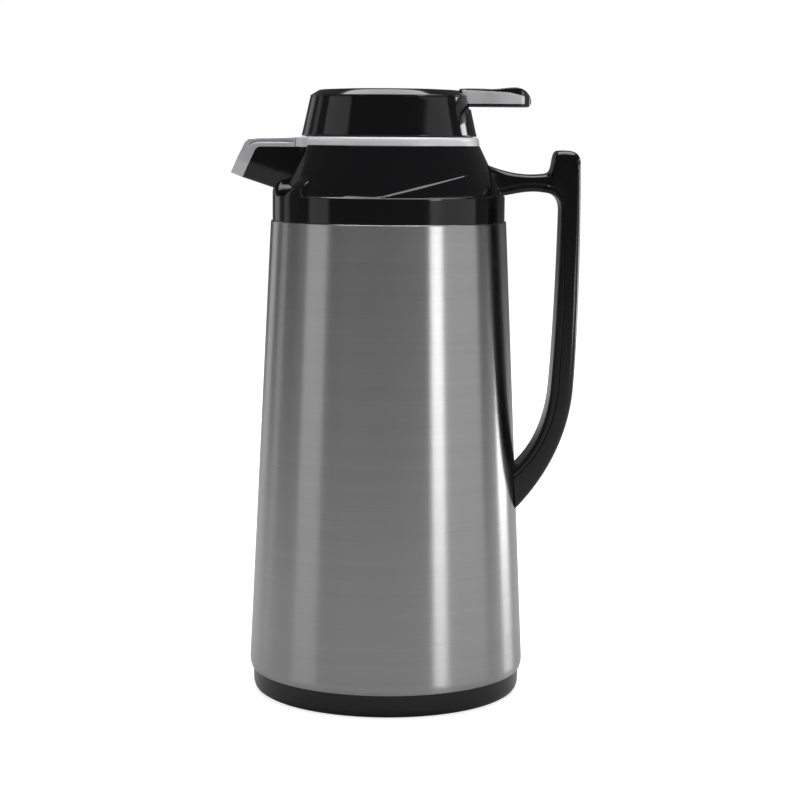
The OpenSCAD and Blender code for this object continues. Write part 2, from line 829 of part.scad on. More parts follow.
// Notch that lets the lever through the lid's edge, from x outwards
module lever_notch(x) {
    translate([x, -slot_w / 2, notch_z])
        cube([far, slot_w, far]);
}

// Cap: crowned top, sloping edge, inner skirt, screw bosses and the ears of the pivot
module lid_top() {
    skirt_out = lid_top_r - lid_wall - skirt_in;
    skirt_h = 5;
    color(black_c)
        difference() {
            union() {
                turned([
                    [0, z_top + crown_h], [12, z_top + crown_h * 0.95],
                    [24, z_top + crown_h * 0.8], [cap_r - 0.8, z_top + crown_h * 0.3],
                    [cap_r, z_top - 0.35], [lid_top_r, z_cap + 0.6], [lid_top_r, z_cap],
                    [skirt_out, z_cap], [skirt_out, z_cap - skirt_h],
                    [skirt_out - 1.6, z_cap - skirt_h], [skirt_out - 1.6, z_cap],
                    [cap_r - 2.6, z_top - lid_wall], [0, z_top - lid_wall + crown_h]
                ]);
                for (a = screw_angles)
                    rotate([0, 0, a])
                        translate([screw_ring_r, 0, z_lid + plate_t])
                            cylinder(r = boss_r, h = z_top - 1 - z_lid - plate_t);
                intersection() {
                    for (side = [-1, 1])
                        translate([pivot_x - ear_half,
                            side * (slot_w + ear_t) / 2 - ear_t / 2, z_pivot - 4.2])
                            cube([2 * ear_half, ear_t, z_top - 1.4 - z_pivot + 4.2]);
                    cylinder(r = skirt_out, h = far * 2);
                }
            }
            lever_notch(slot_x);
            translate([pivot_x - 8, -slot_w / 2, notch_z])
                cube([far, slot_w, z_cap + 1.2 - notch_z]);
            along_y(pivot_x, z_pivot, pin_r + 0.01, slot_w + 2 * ear_t + 2);
            for (a = screw_angles)
                rotate([0, 0, a])
                    translate([screw_ring_r, 0, z_lid])
                        cylinder(r = screw_r + fit_gap, h = 11);
        }
}

// Screw bosses stand clear of the lever and its fork
screw_angles = [55, 130, 230, 305];

// Pivot pin of the lever
module lever_pin() {
    l = slot_w + 2 * ear_t - 0.4;
    color(chrome_c)
        along_y(pivot_x, z_pivot, pin_r, l);
}

// Screws that hold the lid together, from inside the stopper
module lid_screws() {
    color(chrome_c)
        for (a = screw_angles)
            rotate([0, 0, a])
                translate([screw_ring_r, 0, 0])
                    union() {
                        translate([0, 0, z_lid - 1.6])
                            cylinder(r = 2.6, h = 1.6);
                        translate([0, 0, z_lid - 0.2])
                            cylinder(r = screw_r, h = 10);
                    }
}

// Spring that closes the valve: a wire wound between the rod's flange and the guide
z_flange = z_washer + washer_t;
z_spring = z_flange + seat_flange_t;
spring_h = z_lid - guide_l - z_spring;
module valve_spring() {
    steps = 16 * spring_turns;
    rise = spring_h - 2 * spring_wire_r - 0.1;
    rings = [for (k = [0:steps])
        let (a = 360 * k / 16, z = z_spring + spring_wire_r + 0.05 + rise * k / steps)
        [for (j = [0:5]) let (b = 60 * j, r = spring_r + spring_wire_r * cos(b))
            [r * cos(a), r * sin(a), z + spring_wire_r * sin(b)]]];
    color(chrome_c)
        loft([for (ring = rings) [for (j = [5:-1:0]) ring[j]]]);
}

// Side view of the lever: hub, stem flush with the crown and raised thumb pad
stem_x = slot_x + 0.4;
pad_flare = 19;
pad_l = 11;
pad_crest = 7.9;
pad_round = 6.5;
stem_top = z_top + 0.5;
function lever_outline() = concat(
    arc(pivot_x, z_pivot, hub_r, 230, 90, 8),
    [[slot_x - 0.8, z_pivot + hub_r - 0.4], [stem_x, z_pivot + hub_r - 1],
     [stem_x, stem_top - 0.4], [stem_x + 0.4, stem_top], [lid_top_r + 1, stem_top - 0.1]],
    cubic([lid_top_r + 6, stem_top - 0.25], [lever_reach - pad_flare + 2, stem_top - 0.8],
        [lever_reach - pad_l - 2, stem_top + 1.1], [lever_reach - pad_crest, stem_top + 1.2], 6),
    cubic([lever_reach - pad_crest, stem_top + 1.2], [lever_reach - 3.2, stem_top + 1.3],
        [lever_reach - 0.1, stem_top - 2.6], [lever_reach, stem_top - 5.4], 6),
    [[lever_reach, stem_top - 6], [lever_reach - 1.2, lever_z],
     [lid_top_r - 1.2, lever_z], [stem_x, z_pivot - hub_r]]
);

// Fork arm inside the lid, crowned where it meets the button
function fork_outline() = [
    [pivot_x + 0.5, z_pivot - 0.5], [pivot_x - 3, z_pivot + 0.2],
    [pivot_x - 8, z_fork - 0.5], [-fork_end, z_fork - 0.7], [0, z_fork],
    [fork_end, z_fork - 0.7], [fork_end, z_fork - fork_t], [pivot_x - 6, z_fork - fork_t],
    [pivot_x, z_pivot - 2.6]
];

// Plan of the lever: straight stem that flares into a rounded pad, drawn in by inset
function lever_edge() = concat(
    [[pivot_x - 5, lever_w / 2]],
    cubic([lid_top_r + 1, lever_w / 2], [lever_reach - pad_flare, lever_w / 2],
        [lever_reach - pad_flare + 1, pad_w / 2], [lever_reach - pad_l, pad_w / 2], 7),
    arc(lever_reach - pad_round, pad_w / 2 - pad_round, pad_round, 90, 0, 6)
);
function lever_plan(inset = 0) = concat(
    [for (p = lever_edge()) [p[0], p[1] - inset]],
    [for (i = [len(lever_edge()) - 1:-1:0]) let (p = lever_edge()[i]) [p[0], inset - p[1]]]
);

module lever_prism(outline, inset = 0) {
    intersection() {
        across(outline, pad_w + 4);
        translate([0, 0, z_lid])
            linear_extrude(far)
                polygon(lever_plan(inset));
    }
}

// Outline of the bright inlay on each side of the lever
inlay_t = 0.8;
inlay_low = lever_z + 0.7;
inlay_high = stem_top - 1.5;
inlay_end = lever_reach - 3;
function inlay_outline(g = 0) = [
    [lid_top_r + 0.9 - g, inlay_low - g], [inlay_end + g, inlay_low - g],
    [inlay_end + g, inlay_high + g], [lid_top_r - 2.6 - g, inlay_high + g]
];

// Lever: thumb pad, stem and hub, with the fork that lifts the valve rod
module lever() {
    slot = rod_r + 0.4;
    color(black_c)
        difference() {
            union() {
                lever_prism(lever_outline());
                across(fork_outline(), fork_w);
            }
            difference() {
                lever_prism(inlay_outline(0.05), -1);
                lever_prism(inlay_outline(1), inlay_t);
            }
            along_y(pivot_x, z_pivot, pin_r + fit_gap, slot_w + 4);
            translate([fork_end - 1, -slot, z_lid])
                cube([slot + 0.4 - fork_end + 1, 2 * slot, 30]);
        }
}

// Bright inlays let into both sides of the lever
module lever_trim() {
    color(chrome_c)
        difference() {
            lever_prism(inlay_outline());
            lever_prism(inlay_outline(1), inlay_t);
        }
}

// Valve rod: threaded tip below, flange over the washer, tip for the button above
module valve_rod() {
    z_low = z_washer - retainer_t;
    color(black_c)
        turned([
            [0, z_low], [rod_tip_r, z_low], [rod_tip_r, z_flange],
            [spring_r + 1.2, z_flange], [spring_r + 1.2, z_spring], [rod_r, z_spring],
            [rod_r, z_button], [rod_tip_r, z_button], [rod_tip_r, z_button + button_t],
            [0, z_button + button_t]
        ]);
}

// Rubber washer that closes the port from above
module valve_washer() {
    color(rubber_c)
        turned([
            [rod_tip_r + 0.02, z_washer], [washer_r, z_washer],
            [washer_r - 0.5, z_flange], [rod_tip_r + 0.02, z_flange]
        ]);
}

// Retaining disc under the washer, inside the port
module valve_retainer() {
    z_low = z_washer - retainer_t;
    color(black_c)
        turned([
            [rod_tip_r + 0.02, z_low], [port_r - 2.6, z_low], [port_r - 2.2, z_washer],
            [rod_tip_r + 0.02, z_washer]
        ]);
}

// Button screwed on the rod, lifted by the fork
module rod_button() {
    color(black_c)
        turned([
            [rod_tip_r + 0.02, z_button], [button_r, z_button], [button_r, z_button + 1.2],
            [button_r - 0.8, z_button + button_t], [rod_tip_r + 0.02, z_button + button_t]
        ]);
}

casing();
base_ring();
base_plug();
liner_cushion();
vacuum_liner();
neck_gasket();
shoulder();
shoulder_ring();
spout_trim();
handle_grip();
handle_cover();
handle_screws();
stopper_seal();
stopper_body();
lid_gasket();
lid_cover();
lid_top();
lever_pin();
lid_screws();
valve_spring();
lever();
lever_trim();
valve_rod();
valve_washer();
valve_retainer();
rod_button();
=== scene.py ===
import bmesh
import bpy
import numpy as np
from mathutils import Matrix, Vector


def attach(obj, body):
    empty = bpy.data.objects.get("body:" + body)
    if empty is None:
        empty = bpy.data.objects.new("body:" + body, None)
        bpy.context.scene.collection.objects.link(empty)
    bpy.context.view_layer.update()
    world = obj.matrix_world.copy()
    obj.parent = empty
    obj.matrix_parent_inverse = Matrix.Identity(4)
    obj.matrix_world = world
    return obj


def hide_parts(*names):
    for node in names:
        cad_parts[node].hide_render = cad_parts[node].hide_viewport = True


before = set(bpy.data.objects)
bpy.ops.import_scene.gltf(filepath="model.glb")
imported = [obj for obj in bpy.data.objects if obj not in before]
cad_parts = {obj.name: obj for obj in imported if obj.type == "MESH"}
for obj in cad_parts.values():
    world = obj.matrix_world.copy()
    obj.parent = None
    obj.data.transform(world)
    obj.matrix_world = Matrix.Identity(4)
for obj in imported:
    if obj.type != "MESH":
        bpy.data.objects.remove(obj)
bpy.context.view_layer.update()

# Casing. A cone of 0.6 mm stainless sheet, with its top edge rolled and its lower edge
# curled in to grip the foot. It is turned on a lathe and brushed round its axis.


def soften(corners, radius, steps=6, closed=True):
    """Line through corners (..., n, d) with each corner rounded: it leaves the straight side
    radius before the corner, follows a quadratic curve whose control point is the corner,
    and joins the next side radius after it. An open line keeps its two ends."""
    p = np.asarray(corners, float)
    before, after = np.roll(p, 1, -2) - p, np.roll(p, -1, -2) - p
    reach = np.broadcast_to(np.asarray(radius, float), p.shape[:-1])[..., None]
    if not closed:
        reach = reach.copy()
        reach[..., [0, -1], :] = 0
    long_b = np.linalg.norm(before, axis=-1, keepdims=True) + 1e-9
    long_a = np.linalg.norm(after, axis=-1, keepdims=True) + 1e-9
    start = p + before / long_b * np.minimum(reach, long_b * 0.49)
    end = p + after / long_a * np.minimum(reach, long_a * 0.49)
    t = np.linspace(0, 1, steps)[:, None]
    line = (start[..., None, :] * (1 - t) ** 2 + 2 * t * (1 - t) * p[..., None, :]
            + end[..., None, :] * t ** 2)
    return line.reshape(*p.shape[:-2], -1, p.shape[-1])


def turn(profile, angles=None):
    """Profile of (radius, height) carried round the axis: r cos a, r sin a, z, at 288 even
    angles or at those given."""
    a = np.linspace(0, 2 * np.pi, 288, endpoint=False) if angles is None else angles
    r, z = np.asarray(profile, float).T
    return np.stack([np.outer(r, np.cos(a)), np.outer(r, np.sin(a)),
                     np.outer(z, np.ones_like(a))], -1)


def skin(name, points, material, body, nodes=(), around=True, keep=None, flip=False,
         sharp=32):
    """Piece over a grid of points in millimetres, rows by columns: each four neighbours make
    a quad that faces along (column step) x (row step). around joins the last column to the
    first, keep drops quads, and points that meet, as at a pole, are merged."""
    rows, columns = points.shape[:2]
    index = np.arange(rows * columns).reshape(rows, columns)
    if around:
        index = np.hstack([index, index[:, :1]])
    quads = np.stack([index[:-1, :-1], index[:-1, 1:], index[1:, 1:], index[1:, :-1]], -1)
    quads = quads[keep] if keep is not None else quads.reshape(-1, 4)
    if flip:
        quads = quads[:, ::-1]
    mesh = bpy.data.meshes.new(name)
    mesh.vertices.add(rows * columns)
    mesh.vertices.foreach_set("co", (points.reshape(-1) / 1000).astype(np.float32))
    mesh.loops.add(quads.size)
    mesh.loops.foreach_set("vertex_index", quads.reshape(-1).astype(np.int32))
    mesh.polygons.add(len(quads))
    mesh.polygons.foreach_set("loop_start", np.arange(0, quads.size, 4, dtype=np.int32))
    mesh.update(calc_edges=True)
    welded = bmesh.new()
    welded.from_mesh(mesh)
    bmesh.ops.remove_doubles(welded, verts=welded.verts, dist=2e-6)
    bmesh.ops.dissolve_degenerate(welded, edges=welded.edges, dist=1e-7)
    welded.to_mesh(mesh)
    welded.free()
    mesh.shade_smooth()
    mesh.set_sharp_from_angle(angle=np.radians(sharp))
    mesh.materials.append(material)
    piece = bpy.data.objects.new(name, mesh)
    bpy.context.scene.collection.objects.link(piece)
    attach(piece, body)
    if nodes:
        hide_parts(*nodes)
    return piece


def rgb(code):
    """sRGB hex to linear red, green, blue, alpha."""
    c = np.array([int(code[i:i + 2], 16) for i in (1, 3, 5)]) / 255
    return (*np.where(c <= 0.04045, c / 12.92, ((c + 0.055) / 1.055) ** 2.4), 1.0)


def add(tree, kind, sockets=None, **settings):
    """Adds a node with its settings; a socket takes a value or another node's output."""
    made = tree.nodes.new(kind)
    for key, value in settings.items():
        setattr(made, key, value)
    for key, value in (sockets or {}).items():
        if isinstance(value, bpy.types.NodeSocket):
            tree.links.new(value, made.inputs[key])
        else:
            made.inputs[key].default_value = value
    return made


def blank(name):
    """New material with its tree, its shader and its object coordinates."""
    material = bpy.data.materials.new(name)
    material.use_nodes = True
    tree = material.node_tree
    return material, tree, tree.nodes["Principled BSDF"], add(
        tree, "ShaderNodeTexCoord").outputs["Object"]


def spread(tree, value, low, high):
    """Takes a pattern of 0 to 1 to the range low to high."""
    return add(tree, "ShaderNodeMapRange", {0: value, 3: low, 4: high}).outputs[0]


def tint(tree, value, dark, light):
    """Takes a pattern of 0 to 1 to a colour between two hex colours."""
    return add(tree, "ShaderNodeMix", {0: value, 6: rgb(dark), 7: rgb(light)},
               data_type="RGBA").outputs[2]


# Stainless steel, lathe-brushed: the scratches run round the cone, so what it mirrors stays
# sharp from side to side and smears upright. Real scratches are 0.05 mm apart; these are
# drawn 0.4 mm apart to show.
steel, tree, shader, at = blank("stainless_brushed_round")
lines = add(tree, "ShaderNodeMapping", {"Vector": at, "Scale": (11, 11, 1 / 0.0004)})
scratch = add(tree, "ShaderNodeTexNoise", {"Vector": lines.outputs[0], "Scale": 1.0,
                                           "Detail": 3.0, "Roughness": 0.7}).outputs[0]
bands = add(tree, "ShaderNodeMapping", {"Vector": at, "Scale": (4, 4, 1 / 0.004)})
sweep = add(tree, "ShaderNodeTexNoise", {"Vector": bands.outputs[0], "Scale": 1.0,
                                         "Detail": 2.0}).outputs[0]
both = add(tree, "ShaderNodeMath", {0: scratch, 1: spread(tree, sweep, -0.3, 0.3)},
           operation="ADD").outputs[0]
tree.links.new(tint(tree, both, "#AAAAAA", "#BCBBBB"), shader.inputs["Base Color"])
tree.links.new(spread(tree, scratch, 0.26, 0.31), shader.inputs["Roughness"])
tree.links.new(add(tree, "ShaderNodeBump", {"Strength": 0.2, "Distance": 0.00001,
                                            "Height": scratch}).outputs[0],
               shader.inputs["Normal"])
tree.links.new(add(tree, "ShaderNodeTangent", direction_type="RADIAL", axis="Z").outputs[0],
               shader.inputs["Tangent"])
shader.inputs["Metallic"].default_value = 1.0
shader.inputs["Anisotropic"].default_value = 0.95
shader.inputs["Anisotropic Rotation"].default_value = 0.25

casing_line = soften(
    [(64.1, 11.0), (64.9, 11.0), (65.7, 14.0), (55.7, 225.0), (54.9, 225.0), (54.95, 223.0),
     (65.1, 14.0), (64.3, 12.0)], [0.2, 0.6, 1.4, 0.7, 0.2, 0.5, 0.5, 0.2])
skin("casing_shell", turn(casing_line), steel, "carafe", ["casing"])

# Foot and bottom plug. The foot is a black ABS ring pushed into the casing; the plug
# screws up into it and holds the liner. Both are moulded, the foot with a bright gloss.


def moulded(name, dark, light, gloss, grain_mm, depth_mm):
    """Moulded plastic or rubber: a faint grain in colour, gloss and height. grain_mm is the
    grain's real size and depth_mm its height."""
    material, tree, shader, at = blank(name)
    fine = add(tree, "ShaderNodeTexNoise", {"Vector": at, "Scale": 1000 / grain_mm,
                                            "Detail": 3.0}).outputs[0]
    broad = add(tree, "ShaderNodeTexNoise", {"Vector": at, "Scale": 40.0,
                                             "Detail": 2.0}).outputs[0]
    tree.links.new(tint(tree, broad, dark, light), shader.inputs["Base Color"])
    tree.links.new(spread(tree, fine, gloss * 0.85, gloss * 1.15), shader.inputs["Roughness"])
    tree.links.new(add(tree, "ShaderNodeBump", {
        "Strength": 0.3, "Distance": depth_mm / 1000, "Height": fine}).outputs[0],
        shader.inputs["Normal"])
    return material, shader


def dress(material, *nodes):
    """Gives CAD nodes that stay in view their finish."""
    for node in nodes:
        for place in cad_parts[node].material_slots:
            place.material = material


# ABS, polished mould: deep black with clear, slightly wavy reflections
foot_abs, shader = moulded("abs_black_gloss_foot", "#0B0B0C", "#0F0F10", 0.18, 2.5, 0.01)
shader.inputs["IOR"].default_value = 1.5
foot_line = soften(
    [(56.2, 0), (64.0, 0), (64.0, 23.0), (61.8, 23.0), (61.8, 5.4), (47.0, 5.4),
     (47.0, 12.2), (44.0, 12.2), (44.0, 3.2), (55.2, 3.2)],
    [0.8, 5.6, 0.3, 0.3, 1.0, 1.0, 0.5, 0.5, 0.5, 0.8])
skin("foot_ring", turn(foot_line), foot_abs, "carafe", ["base_ring"])

# Polypropylene, spark-eroded mould: a fine dull texture underneath
plug_pp, shader = moulded("polypropylene_textured", "#18181A", "#1F1F21", 0.5, 0.8, 0.02)
dress(plug_pp, "base_plug")

# Liner, its cushion and its gasket. The liner is blown glass with silver between its
# walls, resting on a rubber ring and sealed to the shoulder by a silicone gasket.
# Silvered glass: a mirror behind clear glass, slightly wavy from blowing
silvered, tree, shader, at = blank("glass_silvered")
wave = add(tree, "ShaderNodeTexNoise", {"Vector": at, "Scale": 60.0}).outputs[0]
tree.links.new(tint(tree, wave, "#B9C0C2", "#D5DADB"), shader.inputs["Base Color"])
tree.links.new(spread(tree, wave, 0.04, 0.09), shader.inputs["Roughness"])
tree.links.new(add(tree, "ShaderNodeBump", {"Strength": 0.2, "Distance": 0.0002,
                                            "Height": wave}).outputs[0],
               shader.inputs["Normal"])
shader.inputs["Metallic"].default_value = 0.9
shader.inputs["Coat Weight"].default_value = 1.0
dress(silvered, "vacuum_liner")

# Silicone, moulded: milky grey, dull, with a faint dusty bloom
silicone, shader = moulded("silicone_milky", "#B9B6AE", "#C9C6BE", 0.45, 1.2, 0.02)
shader.inputs["IOR"].default_value = 1.41
shader.inputs["Subsurface Weight"].default_value = 0.1
shader.inputs["Subsurface Radius"].default_value = (0.002, 0.002, 0.002)
dress(silicone, "neck_gasket", "liner_cushion", "stopper_seal", "lid_gasket", "valve_washer")

# Shoulder. One black ABS moulding, snapped into the top of the casing: an upright band, a
# ledge, a cone and a low wing that sweeps from the handle, round a funnel and a collar.
shoulder_abs, shader = moulded("abs_black_gloss_shoulder", "#0F0F11", "#131315", 0.1, 3, 0.006)
shader.inputs["IOR"].default_value = 1.5
band_r, ledge_z, ring_z = 54.9, 236.8, 260.4
cone_z = np.linspace(237.9, 260.0, 84)
shoulder_line = np.vstack([
    soften([(52.6, 213.0), (54.8, 213.0), (54.8, 225.05), (band_r, 225.2), (band_r, 225.6),
            (band_r, 236.2), (band_r, ledge_z), (54.2, 237.15), (53.7, 237.9)],
           [0, 0.4, 0.05, 0.1, 0, 0, 0.35, 0.25, 0], 5, False),
    np.stack([54.0 - (cone_z - 237.3) * 11.3 / 23.1, cone_z], 1),
    soften([(42.9, 260.0), (42.72, ring_z), (39.6, ring_z)], [0, 0.25, 0], 5, False)])

# The columns stand closest round the spout, where the hollows are
beside = np.r_[np.arange(0.6, 9.5, 1.2), np.arange(9.5, 48, 0.26), np.arange(48, 179.8, 0.7)]
angles = np.radians(np.r_[180 - beside[::-1], 180 + beside])
shoulder_grid = turn(shoulder_line, angles)
x, y, z = np.moveaxis(shoulder_grid, -1, 0)

# The wing: the cone stands 0.4 mm proud under a crease that rises at 14 degrees to the handle
crease_slope, crease_wide, wing_proud = np.radians(14), 0.7, 0.4
under_crease = (237.8 + (x + 1.8) * np.tan(crease_slope) - z) * np.cos(crease_slope)
wing = np.clip(0.5 + under_crease / crease_wide, 0, 1) * np.clip((z - 237.0) / 0.7, 0, 1)
wing *= np.clip((ring_z - z) / 0.5, 0, 1)
shoulder_r = np.hypot(x, y) + wing_proud * wing * wing * (3 - 2 * wing)

# Round the spout's root the band runs up past the ledge and rounds in to meet the cone
hem = np.clip((47.0 - np.degrees(np.abs(np.arctan2(y, -x)))) / 4.0, 0, 1)
rounding = np.clip((z - 238.0) / 9.0, 0, 1)
hem_r = shoulder_r + (band_r - shoulder_r) * (1 - rounding * rounding * (3 - 2 * rounding))
hem_r = np.where(z > ledge_z - 0.2, hem_r, shoulder_r)
shoulder_r += (hem_r - shoulder_r) * hem * hem * (3 - 2 * hem)


def hollow_gap(points):
    """Distance outside the hollows beside the spout's root, less than 0 inside. Each is a
    slightly squared ball of 11 mm low on the cone, drawn out along a line to 3 mm under the
    ring: (h^p + v^p)^(1/p) with p = 2.2, for the distances h along and v up from the nearest
    place on that line, less the radius there."""
    power, low_r, high_r = 2.2, 11.0, 3.0
    low, high = np.array([-48.8, 21.6, 248.6]), np.array([-38.57, 15.5, 260.7])
    spot = points * [1, 0, 1] + np.abs(points * [0, 1, 0])
    run = high - low
    t = np.clip(((spot - low) @ run) / (run @ run), 0, 1)
    off = spot - low - t[..., None] * run
    away = (np.hypot(off[..., 0], off[..., 1]) ** power
            + np.abs(off[..., 2]) ** power) ** (1 / power)
    return away - low_r - (high_r - low_r) * t


def scooped(radius, z, angles, wall=0.0, least=39.7):
    """Radius of a surface with the hollows taken out: the first place inwards where the
    smooth maximum of the depth over the surface and over the hollow, grown by wall, is 0,
    and not under least. It is found on 200 radii and between two of them on a straight
    line. The smooth maximum rounds the edge, more so low down: blend is its width."""
    steps = np.linspace(0.7, -13, 200)
    near = np.flatnonzero(np.abs(np.degrees(angles) - 180) < 60)
    r, level = radius[:, near], z[:, near]
    blend = 0.9 + 2.4 * np.clip((246 - level) / 5, 0, 1)
    found = np.full(r.shape, np.nan)
    last = None
    for step in steps:
        at_r = r + step
        spot = np.stack([at_r * np.cos(angles[near]), at_r * np.sin(angles[near]), level], -1)
        over, cut = 0.9 * step, wall - hollow_gap(spot)
        share = np.clip(0.5 + (over - cut) / (2 * blend), 0, 1)
        height = cut + (over - cut) * share + blend * share * (1 - share)
        if last is not None:
            crossed = np.isnan(found) & (height <= 0) & (last > 0)
            part = height / np.where(crossed, height - last, 1)
            found = np.where(crossed, at_r + part * (steps[0] - steps[1]), found)
        last = height
    result = radius.copy()
    result[:, near] = np.where(np.isnan(found) | (level < ledge_z), r,
                               np.maximum(found, least))
    return result


def between(a, b, steps):
    """Points from a to b, without b."""
    return np.linspace(a, b, steps, endpoint=False)


shoulder_r = scooped(shoulder_r, z, angles)
shoulder_grid = np.stack([shoulder_r * np.cos(angles), shoulder_r * np.sin(angles), z], -1)
skin("shoulder_cone", shoulder_grid, shoulder_abs, "carafe", ["shoulder"])
throat_line = soften(
    [(39.6, 260.4), (39.6, 262.7), (36.0, 262.7), (36.0, 252.0), (38.2, 252.0), (38.2, 258.2),
     (41.5, 258.2), (51.8, 238.6), (51.8, 238.0), (22.5, 233.5), (22.5, 231.3), (30.0, 231.3),
     (30.0, 221.7), (32.0, 221.7), (32.0, 232.8), (51.1, 234.8), (52.6, 233.8), (52.6, 213.0)],
    0.5, 4, False)
throat_line = np.vstack([between(a, b, 31 if abs(b[1] - a[1]) > 6 else 1)
                         for a, b in zip(throat_line[:-1], throat_line[1:])] + [throat_line[-1]])

# The chamber's face keeps a wall of 2.2 mm behind the hollows, and its ends move in with it
throat_grid = turn(throat_line, angles[::2])
throat_r, throat_z = np.hypot(throat_grid[..., 0], throat_grid[..., 1]), throat_grid[..., 2]
chamber = (throat_r > 41.4) & (throat_z > 238.5) & (throat_z < 258.1)
throat_r = np.where(chamber, scooped(throat_r, throat_z, angles[::2], 2.2, 39.0), throat_r)
inner_face = np.flatnonzero(chamber.all(1))
throat_r = np.where((throat_z > 258.05) & (throat_z < 258.3),
                    np.minimum(throat_r, throat_r[inner_face[0]]), throat_r)
throat_r = np.where((throat_z > 237.0) & (throat_z <= 238.5) & (throat_r > 45),
                    np.minimum(throat_r, throat_r[inner_face[-1]]), throat_r)
throat_grid[..., 0], throat_grid[..., 1] = (throat_r * np.cos(angles[::2]),
                                            throat_r * np.sin(angles[::2]))
skin("shoulder_throat", throat_grid, shoulder_abs, "carafe",
     ["shoulder"])

# Spout. The lower part belongs to the black moulding; its sides flare out to the ring and
# turn in below a break line. A bright cap with a band round the mouth is pressed over it.


def bezier(points, steps):
    """Cubic curve through four points, at evenly spaced parameters."""
    a, b, c, d = (np.asarray(p, float) for p in points)
    t = np.linspace(0, 1, steps)[:, None]
    return a * (1 - t) ** 3 + 3 * b * t * (1 - t) ** 2 + 3 * c * t * t * (1 - t) + d * t ** 3


spout_plan = bezier([(-75.3, 10.2), (-58, 10.7), (-45.5, 11.7), (-38.07, 19.3)], 300)
rise = np.tan(np.radians(18))
cap_z = 259.47


def spout_half(x, z):
    """Half width of the spout: the plan's above the break line, and below it less by
    tan 27 degrees of the depth under that line. Only the cap flares out past 12.3 mm."""
    wide = np.interp(x, spout_plan[:, 0], spout_plan[:, 1])
    wide = np.where(z < cap_z, np.minimum(wide, 12.3), wide)
    return wide - np.maximum(252.2 - (68.5 + x) * rise - z, 0) * np.tan(np.radians(27))


def spout_rings(low, high, extra=(), proud=0.0):
    """Sections of the spout between a low and a high point of its side view (k, 2): up the
    near side, over the top and down the far side, with a corner at the break line and at
    each extra height (z, depth), where the side goes in by depth. proud widens them all."""
    low, high = np.asarray(low, float), np.asarray(high, float)
    run = high - low
    break_h = (252.2 - (68.5 + low[:, 0]) * rise - low[:, 1]) / (run[:, 1] + rise * run[:, 0])
    sides = [(np.zeros(len(low)), 0.0), (np.clip(break_h, 0.04, 0.6), 0.0)]
    sides += [(np.clip((height - low[:, 1]) / run[:, 1], 0.3, 0.96), depth)
              for height, depth in extra]
    sides += [(np.ones(len(low)), 0.0)]
    near = []
    for h, depth in sides:
        spot = low + run * h[:, None]
        half = spout_half(spot[:, 0], spot[:, 1]) + proud - depth
        near.append(np.stack([spot[:, 0], -half, spot[:, 1]], -1))
    near = np.stack(near, 1)
    return np.concatenate([near, near[:, ::-1] * [1, -1, 1]], 1)


body_low = np.vstack([between((-38, 238.3), (-48, 238.3), 14),
                      between((-48, 238.3), (-68.5, 245.0), 30), [(-68.5, 245.0)] * 2])
body_high = np.vstack([between((-36, 259.45), (-50, 259.45), 24),
                       between((-50, 259.45), (-62.0, 259.45), 20), [(-62.0, 259.45)] * 2])
spout_grid = soften(spout_rings(body_low, body_high), [1.4, 2.2, 0.3, 0.3, 2.2, 1.4], 6)
middle = spout_grid[-1].mean(0)
spout_grid[-1] = middle + (spout_grid[-1] - middle) * [1, 0.93, 0.95]
skin("spout_body", spout_grid, shoulder_abs, "carafe", ["shoulder"])

# Silver foil on ABS, satin: pale and soft, with a fine grain and some metal sheen
satin_silver, tree, shader, at = blank("silver_foil_satin")
grain = add(tree, "ShaderNodeMapping", {"Vector": at, "Scale": (900, 900, 1 / 0.0008)})
scratch = add(tree, "ShaderNodeTexNoise", {"Vector": grain.outputs[0], "Scale": 1.0,
                                           "Detail": 2.0}).outputs[0]
tree.links.new(tint(tree, scratch, "#E6E6E8", "#EEEEF0"), shader.inputs["Base Color"])
tree.links.new(spread(tree, scratch, 0.27, 0.31), shader.inputs["Roughness"])
tree.links.new(add(tree, "ShaderNodeBump", {"Strength": 0.05, "Distance": 0.00001,
                                            "Height": scratch}).outputs[0],
               shader.inputs["Normal"])
shader.inputs["Metallic"].default_value = 0.3

# Side view of the cap and mouth: a low and a high line with as many points. The seam is a
# shallow cut across the cap, the groove runs along its side and dips at the front.
seam = [-43.15, -43.25, -43.75, -43.85]
cap_x = np.sort(np.r_[np.linspace(-37.9, -59.7, 36), seam])[::-1]
corner = np.linspace(0, 1, 9)[:-1, None]
corner = (np.array([-59.7, 259.5]) * (1 - corner) ** 2 + np.array([-61.9, 259.5]) * 2 * corner
          * (1 - corner) + np.array([-62.8, 257.6]) * corner ** 2)
trim_low = np.vstack([np.stack([cap_x, 259.5 + 0 * cap_x], 1)[:-1], corner,
                      between((-62.8, 257.6), (-68.6, 245.0), 12),
                      between((-68.6, 245.0), (-74.3, 247.3), 12), [(-74.3, 247.3)]])
cap_top = np.interp(-cap_x, [43, 62], [264.1, 263.5])
trim_high = np.vstack([np.stack([cap_x, cap_top], 1)[:-1],
                       between((-59.7, 263.57), (-63.0, 263.47), 12),
                       between((-63.0, 263.47), (-65.3, 263.35), 9),
                       between((-65.3, 263.35), (-67.2, 261.7), 11), [(-67.2, 261.7)]])
groove = (np.clip((-44.4 - trim_high[:, 0]) / 0.3, 0, 1)
          * np.clip((trim_high[:, 0] + 65) / 0.6, 0, 1))
dip = 0.08 * np.maximum(-60.5 - trim_high[:, 0], 0) ** 2
trim_grid = soften(spout_rings(trim_low, trim_high, [
    (261.1 - dip, 0.0), (261.95 - dip, 0.7 * groove), (262.0 - dip, 1.6 * groove),
    (262.75 - dip, 1.6 * groove), (262.9 - dip, 0.0)], 0.04),
    [1.0, 1.6, 0.4, 0.2, 0, 0, 0.1, 0.8, 0.8, 0.1, 0, 0, 0.2, 0.4, 1.6, 1.0], 5)
